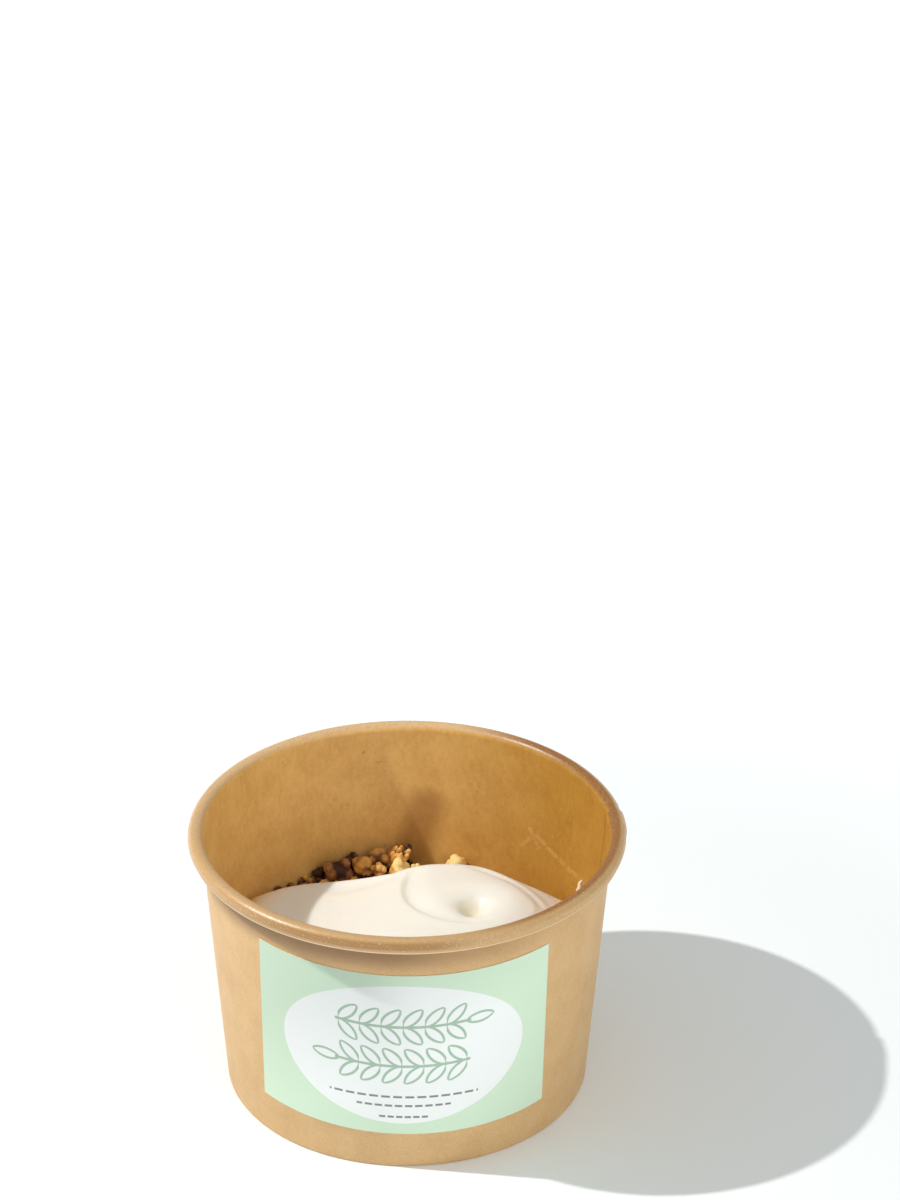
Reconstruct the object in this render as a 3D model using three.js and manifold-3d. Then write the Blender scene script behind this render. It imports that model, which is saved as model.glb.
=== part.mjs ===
// A paper bowl of granola under thick poured yogurt, with a label on its front.
// Millimetres, +Z up, origin at the centre of the ring the cup stands on.
// Azimuths are in degrees, 0 at the front (-Y) and growing towards the right (+X).

import * as THREE from 'three';
import { mergeVertices } from 'three/addons/utils/BufferGeometryUtils.js';
import Module from 'manifold-3d';

const wasm = await Module();
wasm.setup();

// Driving dimensions

const cup = {
  height: 74.5,
  rimRadius: 57.5,
  footRadius: 48.4,
  wallSlope: 0.078,
  paper: 0.5,
  curlRadius: 2.1,
  curlEnd: -122,
  neckDrop: 2.6,
  columns: 72,
};

const seam = {
  outerEdge: 90.5,
  innerEdge: 98.5,
  step: 0.3,
  blend: 4.5,
  fullHeight: 9,
};

const foot = {
  hemHeight: 6.5,
  skirtGap: 0.3,
  discTop: 8.2,
  cornerRadius: 1.4,
  skirtBottom: 1.7,
};

const label = {
  width: 81,
  height: 51,
  thickness: 0.15,
  gap: 0.12,
  centreHeight: 36.5,
  centreAzimuth: -1.5,
  tilt: 0.5,
  cornersAcross: 18,
  cornersUp: 4,
};

const contentsGap = 0.4;

const bed = {
  top: 30,
  columns: 48,
};

const fill = {
  tries: 900,
  smallest: 1.8,
  largest: 3.4,
  clearance: 1.15,
  spacing: 3.5,
  fromAzimuth: 112,
  toAzimuth: 245,
  deepest: 18,
  rootDepth: 2.2,
  rootShare: 0.85,
};

const yogurt = {
  bedGap: 0.35,
  columns: 64,
  level: 46,
  leftLevel: 41.4,
  leftStart: -32,
  leftEnd: 8,
  lipWidth: 9,
  wallBlend: 15,
  wallHeightLeft: 36,
  wallHeightFront: 42,
  wallHeightRight: 38.5,
};

const crater = {
  x: 17.4,
  y: 8,
  depth: 5.2,
  width: 3.3,
  ringRadius: 10,
  ringRise: 1.2,
  ringTilt: 0.55,
  ringWidth: 6,
  shoulder: 16,
  fall: 0.36,
};

const leftLobe = { x: -17, across: 38, back: 25.4 };
const rightLobe = { x: 12, across: 38, back: 27.5 };

const colours = {
  kraft: 0xc99d66,
  base: 0xc09058,
  mint: 0xcbdfc3,
  cream: 0xf6f0e0,
  toasted: 0xc08a45,
};

// Small helpers

const radians = THREE.MathUtils.degToRad;
const smooth = THREE.MathUtils.smoothstep;
const clamp = THREE.MathUtils.clamp;

function seededRandom(seed) {
  let state = seed;
  return () => {
    state = (state + 0x6d2b79f5) | 0;
    let t = Math.imul(state ^ (state >>> 15), 1 | state);
    t = (t + Math.imul(t ^ (t >>> 7), 61 | t)) ^ t;
    return ((t ^ (t >>> 14)) >>> 0) / 4294967296;
  };
}

function atAzimuth(radius, azimuth, z) {
  return new THREE.Vector3(
    radius * Math.sin(radians(azimuth)),
    -radius * Math.cos(radians(azimuth)),
    z,
  );
}

function signedVolume(position, index) {
  const a = new THREE.Vector3();
  const b = new THREE.Vector3();
  const c = new THREE.Vector3();
  let volume = 0;
  for (let i = 0; i < index.length; i += 3) {
    a.fromBufferAttribute(position, index[i]);
    b.fromBufferAttribute(position, index[i + 1]);
    c.fromBufferAttribute(position, index[i + 2]);
    volume += a.dot(b.cross(c)) / 6;
  }
  return volume;
}

// One closed skin: shared corners merged, collapsed triangles dropped, faces pointing out.
function closed(geometry) {
  const bare = geometry.clone();
  bare.deleteAttribute('normal');
  bare.deleteAttribute('uv');
  const merged = mergeVertices(bare, 1e-4);
  const corners = merged.index.array;
  const kept = [];
  for (let i = 0; i < corners.length; i += 3) {
    const [a, b, c] = corners.slice(i, i + 3);
    if (a !== b && b !== c && c !== a) {
      kept.push(a, b, c);
    }
  }
  if (signedVolume(merged.attributes.position, kept) < 0) {
    kept.reverse();
  }
  merged.setIndex(kept);
  merged.computeVertexNormals();
  return merged;
}

function toManifold(geometry) {
  const skin = closed(geometry);
  return new wasm.Manifold(new wasm.Mesh({
    numProp: 3,
    vertProperties: new Float32Array(skin.attributes.position.array),
    triVerts: new Uint32Array(skin.index.array),
  }));
}

function fromManifold(solid) {
  const mesh = solid.getMesh();
  const geometry = new THREE.BufferGeometry();
  geometry.setAttribute('position', new THREE.BufferAttribute(mesh.vertProperties, 3));
  geometry.setIndex(new THREE.BufferAttribute(mesh.triVerts, 1));
  return geometry;
}

// A turned shape whose corners are placed one by one: place(column, row) gives each corner.
function turned(columnCount, rowCount, closedProfile, place) {
  const profile = [];
  for (let row = 0; row < rowCount; row += 1) {
    profile.push(new THREE.Vector2(1, row));
  }
  if (closedProfile) {
    profile.push(new THREE.Vector2(1, 0));
  }
  const geometry = new THREE.LatheGeometry(profile, columnCount);
  const position = geometry.attributes.position;
  for (let i = 0; i < position.count; i += 1) {
    const column = Math.floor(i / profile.length) % columnCount;
    const row = (i % profile.length) % rowCount;
    const corner = place(column, row);
    position.setXYZ(i, corner.x, corner.y, corner.z);
  }
  return closed(geometry);
}

function evenAzimuths(count) {
  return Array.from({ length: count }, (_, i) => (360 * i) / count);
}

// Cup wall: one sheet with its side seam, its rolled rim and its hem folded in at the foot

function wallOutside(z) {
  return cup.footRadius + cup.wallSlope * z;
}

function wallInside(z) {
  return wallOutside(z) - cup.paper;
}

// The sheet's middle line from the hem's edge, round the fold, up the wall and round the
// curl. Each point has its direction to the food side of the paper, and how far the seam's
// extra layer shows there.
function sheetLine() {
  const half = cup.paper / 2;
  const lean = Math.atan(cup.wallSlope);
  const foldRadius = half + foot.skirtGap + cup.paper / 2;
  const foldFlat = 60;
  const foldCentreZ = (foldRadius + half) * Math.sin(radians(foldFlat));
  const wallFootRadius = wallOutside(foldCentreZ) - half;
  const foldCentreR = wallFootRadius - foldRadius;
  const line = [];
  line.push({
    r: foldCentreR - foldRadius + cup.wallSlope * (foot.hemHeight - foldCentreZ),
    z: foot.hemHeight,
    toFoodR: Math.cos(lean),
    toFoodZ: -Math.sin(lean),
    seamShare: 0,
  });
  for (const turn of [180, 210, 180 + foldFlat, 360 - foldFlat, 330, 360]) {
    const angle = radians(turn);
    line.push({
      r: foldCentreR + foldRadius * Math.cos(angle),
      z: foldCentreZ + foldRadius * Math.sin(angle),
      toFoodR: -Math.cos(angle),
      toFoodZ: -Math.sin(angle),
      seamShare: 0,
    });
  }
  const curlCentreR = cup.rimRadius - cup.curlRadius;
  const curlCentreZ = cup.height - cup.curlRadius;
  for (const z of [seam.fullHeight, curlCentreZ - cup.neckDrop]) {
    line.push({
      r: wallOutside(z) - half,
      z,
      toFoodR: -Math.cos(lean),
      toFoodZ: Math.sin(lean),
      seamShare: 1,
    });
  }
  const curlSteps = 12;
  for (let i = 0; i <= curlSteps; i += 1) {
    const angle = radians(180 + ((cup.curlEnd - 180) * i) / curlSteps);
    line.push({
      r: curlCentreR + (cup.curlRadius - half) * Math.cos(angle),
      z: curlCentreZ + (cup.curlRadius - half) * Math.sin(angle),
      toFoodR: Math.cos(angle),
      toFoodZ: Math.sin(angle),
      seamShare: 1,
    });
  }
  return line;
}

// How far the two faces of the paper stand off the middle line beside and on the overlap.
function seamShift(azimuth) {
  const half = cup.paper / 2;
  if (azimuth <= seam.outerEdge) {
    const lift = half * smooth(azimuth, seam.outerEdge - seam.blend, seam.outerEdge);
    return { food: lift, outside: -lift };
  }
  if (azimuth <= seam.innerEdge) {
    return { food: half, outside: half };
  }
  const drop = half * (1 - smooth(azimuth, seam.innerEdge, seam.innerEdge + seam.blend));
  return { food: -drop, outside: drop };
}

function wallAzimuths() {
  const edges = [seam.outerEdge, seam.innerEdge];
  const clear = 1.2;
  const regular = evenAzimuths(cup.columns).filter(
    (azimuth) => edges.every((edge) => Math.abs(azimuth - edge) > clear),
  );
  const stepped = edges.flatMap((edge) => [edge, edge + seam.step]);
  return [...regular, ...stepped].sort((a, b) => a - b);
}

function makeWall() {
  const line = sheetLine();
  const azimuths = wallAzimuths();
  const isShaping = (point, i) => point.z < cup.height / 2 || i % 2 === 0 || i === line.length - 1;
  const faces = [
    ...line.map((point) => ({ point, side: 'food' })),
    ...line.filter(isShaping).reverse().map((point) => ({ point, side: 'outside' })),
  ];
  return turned(azimuths.length, faces.length, true, (column, row) => {
    const { point, side } = faces[row];
    const shift = seamShift(azimuths[column])[side] * point.seamShare;
    const off = (cup.paper / 2 + shift) * (side === 'food' ? 1 : -1);
    return atAzimuth(point.r + point.toFoodR * off, azimuths[column], point.z + point.toFoodZ * off);
  });
}

// Cup base: a raised disc with its edge turned down between the wall and the hem

function makeBase() {
  const discUnder = foot.discTop - cup.paper;
  const skirtOutside = (z) => wallInside(z) - foot.skirtGap;
  const cornerZ = foot.discTop - foot.cornerRadius;
  const innerCornerZ = discUnder - foot.cornerRadius + cup.paper;
  const cornerR = skirtOutside(cornerZ) - foot.cornerRadius;
  const profile = [
    new THREE.Vector2(0, foot.discTop),
    new THREE.Vector2(cornerR, foot.discTop),
  ];
  for (const turn of [45, 0]) {
    profile.push(new THREE.Vector2(
      cornerR + foot.cornerRadius * Math.cos(radians(turn)),
      cornerZ + foot.cornerRadius * Math.sin(radians(turn)),
    ));
  }
  profile.push(new THREE.Vector2(skirtOutside(foot.skirtBottom), foot.skirtBottom));
  profile.push(new THREE.Vector2(skirtOutside(foot.skirtBottom) - cup.paper, foot.skirtBottom));
  const innerBend = foot.cornerRadius - cup.paper;
  for (const turn of [0, 60]) {
    profile.push(new THREE.Vector2(
      cornerR + innerBend * Math.cos(radians(turn)),
      innerCornerZ + innerBend * Math.sin(radians(turn)),
    ));
  }
  profile.push(new THREE.Vector2(cornerR - 1, discUnder));
  profile.push(new THREE.Vector2(0, discUnder));
  const geometry = new THREE.LatheGeometry(profile, cup.columns);
  geometry.rotateX(Math.PI / 2);
  return closed(geometry);
}

// Label: a flat rectangle of paper wrapped on the cone of the wall

function wrapOnWall(across, up, standOff) {
  const lean = Math.atan(cup.wallSlope);
  const apexDepth = cup.footRadius / cup.wallSlope;
  const tilt = radians(label.tilt);
  const u = across * Math.cos(tilt) + up * Math.sin(tilt);
  const v = up * Math.cos(tilt) - across * Math.sin(tilt);
  const toCentre = (label.centreHeight + apexDepth) / Math.cos(lean);
  const slant = Math.hypot(u, toCentre + v);
  const azimuth = label.centreAzimuth
    + THREE.MathUtils.radToDeg(Math.atan2(u, toCentre + v) / Math.sin(lean));
  return atAzimuth(
    slant * Math.sin(lean) + standOff * Math.cos(lean),
    azimuth,
    slant * Math.cos(lean) - apexDepth - standOff * Math.sin(lean),
  );
}

function makeLabel() {
  const slab = new THREE.BoxGeometry(
    label.width, label.height, label.thickness, label.cornersAcross, label.cornersUp, 1,
  );
  const position = slab.attributes.position;
  for (let i = 0; i < position.count; i += 1) {
    const standOff = label.gap + label.thickness / 2 + position.getZ(i);
    const corner = wrapOnWall(position.getX(i), position.getY(i), standOff);
    position.setXYZ(i, corner.x, corner.y, corner.z);
  }
  return closed(slab);
}

// Yogurt: a thick poured layer on the granola, against the wall at the sides and the front,
// with a rounded free edge at the back and the crater where it was poured

// How far a lobe of the free back edge reaches from the crater in a direction.
function lobeReach(lobe, dx, dy) {
  const fromX = crater.x - lobe.x;
  const a = (dx / lobe.across) ** 2 + (dy / lobe.back) ** 2;
  const b = (fromX * dx) / lobe.across ** 2;
  const c = (fromX / lobe.across) ** 2 - 1;
  return (-b + Math.sqrt(b * b - a * c)) / a;
}

// How far the wall is from the crater in a direction, at a height.
function wallReach(dx, dy, z) {
  const radius = wallInside(z) - contentsGap;
  const b = crater.x * dx + crater.y * dy;
  const c = crater.x ** 2 + crater.y ** 2 - radius ** 2;
  return -b + Math.sqrt(b * b - c);
}

function freeReach(dx, dy) {
  if (dy <= 0) {
    return 2 * cup.rimRadius;
  }
  return Math.max(lobeReach(leftLobe, dx, dy), lobeReach(rightLobe, dx, dy));
}

// The height of the yogurt where it meets the wall, by azimuth about the cup's axis.
function wallHeight(x, y) {
  const front = clamp(-y / cup.footRadius, 0, 1);
  const side = x > 0 ? yogurt.wallHeightRight : yogurt.wallHeightLeft;
  return THREE.MathUtils.lerp(side, yogurt.wallHeightFront, smooth(front, 0, 0.8));
}

// A ridge or groove that follows a circular arc: 1 on its middle line, 0 a few widths away.
function alongArc(x, y, arc) {
  const distance = Math.hypot(x - arc.x, y - arc.y) - arc.radius;
  const turn = THREE.MathUtils.radToDeg(Math.atan2(y - arc.y, x - arc.x));
  const fromMiddle = Math.abs(((turn - arc.middle + 540) % 360) - 180);
  const share = 1 - smooth(fromMiddle, arc.halfTurn - arc.fade, arc.halfTurn);
  return share * Math.exp(-((distance / arc.width) ** 2));
}

const leftFold = { x: 18.5, y: 17, radius: 19.5, width: 1.8, middle: 215, halfTurn: 75, fade: 30 };
const backFold = { x: 17.4, y: 8, radius: 16.5, width: 1.8, middle: 50, halfTurn: 55, fade: 20 };
const foldDepth = 1.1;

// The poured surface away from its edges.
function pouredHeight(x, y) {
  const fromCrater = Math.hypot(x - crater.x, y - crater.y);
  const toRight = (x - crater.x) / Math.max(fromCrater, 1);
  const ringHeight = crater.ringRise + crater.ringTilt * toRight;
  const ring = ringHeight * Math.exp(-(((fromCrater - crater.ringRadius) / crater.ringWidth) ** 2));
  const hollow = crater.depth * Math.exp(-((fromCrater / crater.width) ** 2));
  const eastward = smooth(x - crater.x, 0, crater.shoulder) * smooth(y, -28, 6);
  const falling = crater.fall * eastward * Math.max(0, fromCrater - crater.shoulder);
  const spread = smooth(x, yogurt.leftStart, yogurt.leftEnd);
  const level = THREE.MathUtils.lerp(yogurt.leftLevel, yogurt.level, spread);
  const backFall = 0.05 * Math.max(0, y - 8) * smooth(-x, 0, 12);
  const folds = foldDepth * (alongArc(x, y, leftFold) + alongArc(x, y, backFold));
  return level + ring - hollow - falling - backFall - folds;
}

// The poured outline: reach from the crater, and how free of the wall the edge is there.
function edgeOf(azimuth) {
  const dx = Math.sin(radians(azimuth));
  const dy = -Math.cos(radians(azimuth));
  const free = freeReach(dx, dy);
  const wallAtBed = wallReach(dx, dy, bed.top + yogurt.bedGap);
  const freedom = smooth(wallAtBed - free, 0, 4);
  return { dx, dy, free, wallAtBed, freedom };
}

function yogurtPoint(edge, fromEdge, fromCrater) {
  const x = crater.x + edge.dx * fromCrater;
  const y = crater.y + edge.dy * fromCrater;
  const underside = bed.top + yogurt.bedGap;
  const poured = pouredHeight(x, y);
  const lip = clamp(fromEdge / yogurt.lipWidth, 0, 1);
  const lipHeight = underside + (poured - underside) * Math.sqrt(1 - (1 - lip) ** 2);
  const shelf = clamp(fromEdge / yogurt.wallBlend, 0, 1);
  const shelfHeight = poured - (poured - wallHeight(x, y)) * (1 - shelf) ** 2;
  return new THREE.Vector3(x, y, THREE.MathUtils.lerp(shelfHeight, lipHeight, edge.freedom));
}

function makeYogurt() {
  const nearRings = [0, 1.4, 2.8, 4.6, 6.8, 9, 11, 13, 15, 17, 19, 21.5, 24];
  const farShares = [0.3, 0.65, 1];
  const lipRings = [5, 2.4, 1, 0.25, 0];
  const reachOfNear = nearRings[nearRings.length - 1];
  const edges = evenAzimuths(yogurt.columns).map(edgeOf);
  const rows = nearRings.length + farShares.length + lipRings.length + 2;
  return turned(yogurt.columns, rows, false, (column, row) => {
    const edge = edges[column];
    const onWall = (z) => wallReach(edge.dx, edge.dy, z);
    const bedReach = Math.min(edge.free, edge.wallAtBed);
    if (row === rows - 1) {
      return new THREE.Vector3(crater.x, crater.y, bed.top + yogurt.bedGap);
    }
    if (row === rows - 2) {
      return new THREE.Vector3(
        crater.x + edge.dx * bedReach, crater.y + edge.dy * bedReach, bed.top + yogurt.bedGap,
      );
    }
    const top = yogurtPoint(edge, 0, bedReach).z;
    const reach = Math.min(edge.free, onWall(Math.max(top, bed.top + yogurt.bedGap + 1)));
    const inner = reach - yogurt.lipWidth;
    const squeeze = Math.min(1, inner / reachOfNear);
    let fromCrater = reach;
    if (row < nearRings.length) {
      fromCrater = nearRings[row] * squeeze;
    } else if (row < nearRings.length + farShares.length) {
      const share = farShares[row - nearRings.length];
      fromCrater = THREE.MathUtils.lerp(reachOfNear * squeeze, inner, share);
    } else {
      fromCrater = reach - lipRings[row - nearRings.length - farShares.length];
    }
    const point = yogurtPoint(edge, reach - fromCrater, fromCrater);
    point.z = Math.max(point.z, bed.top + yogurt.bedGap + 1);
    return point;
  });
}

// Granola: a bed up to the yogurt, with the clusters that show at the back fused on it

function outsideYogurt(x, y, clearance) {
  for (let turn = 0; turn < 360; turn += 45) {
    const sampleX = x + clearance * Math.cos(radians(turn)) - crater.x;
    const sampleY = y + clearance * Math.sin(radians(turn)) - crater.y;
    const distance = Math.hypot(sampleX, sampleY);
    if (distance < freeReach(sampleX / distance, sampleY / distance)) {
      return false;
    }
  }
  return true;
}

function makeLump(form, x, y, z, size, random, tall = 1) {
  const lump = form.clone();
  lump.deleteAttribute('normal');
  lump.deleteAttribute('uv');
  const merged = mergeVertices(lump, 1e-4);
  const position = merged.attributes.position;
  for (let i = 0; i < position.count; i += 1) {
    const bulge = 0.86 + 0.26 * random();
    position.setXYZ(
      i, position.getX(i) * bulge, position.getY(i) * bulge, position.getZ(i) * bulge * 0.9,
    );
  }
  merged.rotateZ(random() * Math.PI);
  merged.rotateX(random() * Math.PI);
  merged.scale(size, size, size * tall);
  merged.translate(x, y, z);
  return merged;
}

const roundForm = new THREE.IcosahedronGeometry(1, 1);
const nuggetForm = new THREE.OctahedronGeometry(1, 1);

// The pieces that show, left to right: azimuth, clearance to the wall, height and radius.
const showing = [
  { azimuth: -134.5, inset: 0.1, z: 34.0, size: 2.0 },
  { azimuth: -151, inset: 0.1, z: 34.0, size: 1.8 },
  { azimuth: -155.5, inset: 0.4, z: 35.0, size: 3.3 },
  { azimuth: -163.5, inset: 2.0, z: 35.0, size: 3.2 },
  { azimuth: -169.3, inset: 0.8, z: 36.3, size: 3.1 },
  { azimuth: -168.8, inset: 6.2, z: 35.8, size: 2.3 },
  { azimuth: -174, inset: 0.6, z: 37.0, size: 2.8 },
  { azimuth: -177.5, inset: 0.9, z: 36.6, size: 3.3 },
  { azimuth: -176.8, inset: 5.6, z: 36.6, size: 3.1 },
  { azimuth: 177, inset: 6.0, z: 36.0, size: 2.0 },
  { azimuth: 163, inset: 0.1, z: 35.0, size: 2.9 },
];

function makeGranola() {
  const random = seededRandom(7);
  const bottom = foot.discTop + contentsGap;
  const core = new THREE.LatheGeometry([
    new THREE.Vector2(0, bottom),
    new THREE.Vector2(wallInside(bottom) - contentsGap - foot.cornerRadius / 2, bottom),
    new THREE.Vector2(wallInside(bed.top) - contentsGap, bed.top),
    new THREE.Vector2(0, bed.top),
  ], bed.columns);
  core.rotateX(Math.PI / 2);
  let solid = toManifold(core);
  const placed = [];
  for (const { azimuth, inset, z, size } of showing) {
    const toWall = contentsGap + size * fill.clearance + inset;
    const place = atAzimuth(wallInside(z) - toWall, azimuth, z);
    solid = solid.add(toManifold(makeLump(roundForm, place.x, place.y, z, size, random)));
    const under = (z + bed.top) / 2;
    const tall = ((z - bed.top) / 2 + fill.rootDepth) / size;
    const rootSize = size * fill.rootShare;
    const root = makeLump(nuggetForm, place.x, place.y, under, rootSize, random, tall);
    solid = solid.add(toManifold(root));
    placed.push(new THREE.Vector2(place.x, place.y));
  }
  for (let i = 0; i < fill.tries; i += 1) {
    const size = THREE.MathUtils.lerp(fill.smallest, fill.largest, random());
    const azimuth = THREE.MathUtils.lerp(fill.fromAzimuth, fill.toAzimuth, random());
    const inset = size * fill.clearance + fill.deepest * random();
    const place = atAzimuth(wallInside(bed.top) - contentsGap - inset, azimuth, bed.top);
    const spot = new THREE.Vector2(place.x, place.y);
    const isFree = placed.every((other) => other.distanceTo(spot) > fill.spacing);
    if (isFree && outsideYogurt(place.x, place.y, size * fill.clearance + contentsGap)) {
      const nugget = makeLump(nuggetForm, place.x, place.y, place.z, size, random);
      solid = solid.add(toManifold(nugget));
      placed.push(spot);
    }
  }
  return fromManifold(solid);
}

// The cup and its contents

function piece(name, geometry, colour, roughness) {
  const material = new THREE.MeshStandardMaterial({ color: colour, roughness, metalness: 0 });
  const mesh = new THREE.Mesh(geometry, material);
  mesh.name = name;
  return mesh;
}

const model = new THREE.Group();
model.add(piece('cup_wall', makeWall(), colours.kraft, 0.7));
model.add(piece('cup_base', makeBase(), colours.base, 0.6));
model.add(piece('label', makeLabel(), colours.mint, 0.55));
model.add(piece('granola', makeGranola(), colours.toasted, 0.85));
model.add(piece('yogurt', makeYogurt(), colours.cream, 0.3));

export default model;
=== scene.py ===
import math
import random

import bpy
from mathutils import Euler, Matrix, Vector, noise


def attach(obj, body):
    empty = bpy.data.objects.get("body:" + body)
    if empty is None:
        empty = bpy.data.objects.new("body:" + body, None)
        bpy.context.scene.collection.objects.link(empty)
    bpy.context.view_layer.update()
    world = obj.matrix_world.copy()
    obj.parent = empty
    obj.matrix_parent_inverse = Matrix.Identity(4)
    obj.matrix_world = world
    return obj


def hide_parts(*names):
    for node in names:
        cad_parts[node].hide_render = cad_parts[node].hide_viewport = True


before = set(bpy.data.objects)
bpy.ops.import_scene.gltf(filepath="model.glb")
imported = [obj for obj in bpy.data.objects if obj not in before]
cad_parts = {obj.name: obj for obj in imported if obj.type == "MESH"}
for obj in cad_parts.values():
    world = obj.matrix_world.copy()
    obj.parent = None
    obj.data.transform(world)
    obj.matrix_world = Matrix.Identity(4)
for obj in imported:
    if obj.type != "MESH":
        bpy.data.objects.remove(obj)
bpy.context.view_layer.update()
mm = 0.001


# Numbers and places shared by all the pieces

def mix(start, end, share):
    return start + (end - start) * share


def clamp(value, lowest=0.0, highest=1.0):
    return max(lowest, min(highest, value))


def smooth(value, start, end):  # 0 before start, 1 past end, eased in between
    share = clamp((value - start) / (end - start))
    return share * share * (3 - 2 * share)


def bell(value, width):
    return math.exp(-((value / width) ** 2))


def atAzimuth(radius, azimuth, height):  # millimetres, azimuth 0 at the front and growing to the right
    angle = math.radians(azimuth)
    return Vector((radius * math.sin(angle), -radius * math.cos(angle), height)) * mm


def paint(red, green, blue):  # a colour as picked on a screen, 0 to 255, turned linear
    linear = [((c / 255 + 0.055) / 1.055) ** 2.4 if c > 10 else c / 255 / 12.92 for c in (red, green, blue)]
    return (*linear, 1.0)


# Modelling moves

def startPiece(name, add, **shape):  # a primitive to work from
    bpy.ops.object.select_all(action="DESELECT")
    add(**shape)
    piece = bpy.context.object
    piece.name = name
    piece.data.name = name
    return piece


def pickPiece(piece):
    bpy.ops.object.select_all(action="DESELECT")
    bpy.context.view_layer.objects.active = piece
    piece.select_set(True)


def openPiece(piece):
    pickPiece(piece)
    bpy.ops.object.mode_set(mode="EDIT")
    bpy.ops.mesh.select_all(action="SELECT")


def closePiece():
    bpy.ops.object.mode_set(mode="OBJECT")
    bpy.ops.object.select_all(action="DESELECT")


def drawProfile(name, points):  # a single corner, extruded from point to point
    piece = startPiece(name, bpy.ops.mesh.primitive_plane_add, size=mm)
    openPiece(piece)
    bpy.ops.mesh.merge(type="CENTER")
    bpy.ops.transform.translate(value=points[0])
    for start, end in zip(points, points[1:]):
        bpy.ops.mesh.extrude_region_move(TRANSFORM_OT_translate={"value": end - start})
    closePiece()
    return piece


def turnProfile(piece, steps, degrees, centre=(0, 0, 0)):
    openPiece(piece)
    bpy.ops.mesh.spin(steps=steps, angle=-math.radians(degrees), center=centre, axis=(0, 0, 1))
    closePiece()


def placeCorners(piece, points, place):  # place(column, row) gives each corner of a turned profile
    corners = piece.data.vertices
    rows = len(points)
    order = []  # the spin may list a column's corners in another order than the profile
    for first in range(rows):
        order.append(min(range(rows), key=lambda row: (points[row] - corners[first].co).length))
    for index, vertex in enumerate(corners):
        vertex.co = place(index // rows, order[index % rows])


def sealSurface(piece, distance=0.004 * mm):
    openPiece(piece)
    bpy.ops.mesh.remove_doubles(threshold=distance)
    bpy.ops.mesh.select_all(action="SELECT")
    bpy.ops.mesh.normals_make_consistent(inside=False)
    closePiece()


def applyModifier(piece, kind, **settings):
    pickPiece(piece)
    bpy.ops.object.modifier_add(type=kind)
    modifier = piece.modifiers[-1]
    for name, value in settings.items():
        setattr(modifier, name, value)
    bpy.ops.object.modifier_apply(modifier=modifier.name)
    bpy.ops.object.select_all(action="DESELECT")


def smoothPiece(piece, degrees=40):
    pickPiece(piece)
    bpy.ops.object.shade_smooth_by_angle(angle=math.radians(degrees))
    bpy.ops.object.select_all(action="DESELECT")


def giveFinish(piece, *materials):
    piece.data.materials.clear()
    for material in materials:
        piece.data.materials.append(material)


def joinPieces(name, pieces):
    bpy.ops.object.select_all(action="DESELECT")
    for piece in pieces:
        piece.select_set(True)
    bpy.context.view_layer.objects.active = pieces[0]
    bpy.ops.object.join()
    joined = bpy.context.object
    joined.name = name
    joined.data.name = name
    bpy.ops.object.select_all(action="DESELECT")
    return joined


def standIn(piece, node):  # the finished piece takes its node's place on the cup
    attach(piece, "root")
    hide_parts(node)


# Shader maths: sums on sockets read as plain sums

class Wire:
    def __init__(self, finish, socket):
        self.finish = finish
        self.socket = socket

    def join(self, operation, *others):
        values = dict(enumerate([self, *others]))
        return self.finish.add("ShaderNodeMath", {"operation": operation}, values)

    def __add__(self, other):
        return self.join("ADD", other)

    def __sub__(self, other):
        return self.join("SUBTRACT", other)

    def __mul__(self, other):
        return self.join("MULTIPLY", other)

    def __truediv__(self, other):
        return self.join("DIVIDE", other)

    def __pow__(self, other):
        return self.join("POWER", other)

    def __rsub__(self, other):
        return self.finish.add("ShaderNodeMath", {"operation": "SUBTRACT"}, {0: other, 1: self})

    __radd__ = __add__
    __rmul__ = __mul__

    def size(self):
        return self.join("ABSOLUTE")

    def least(self, other):
        return self.join("MINIMUM", other)

    def most(self, other):
        return self.join("MAXIMUM", other)

    def fade(self, start, end):  # 0 at start, 1 at end, eased
        values = {"Value": self, "From Min": start, "From Max": end}
        return self.finish.add("ShaderNodeMapRange", {"interpolation_type": "SMOOTHSTEP"}, values)


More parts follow.
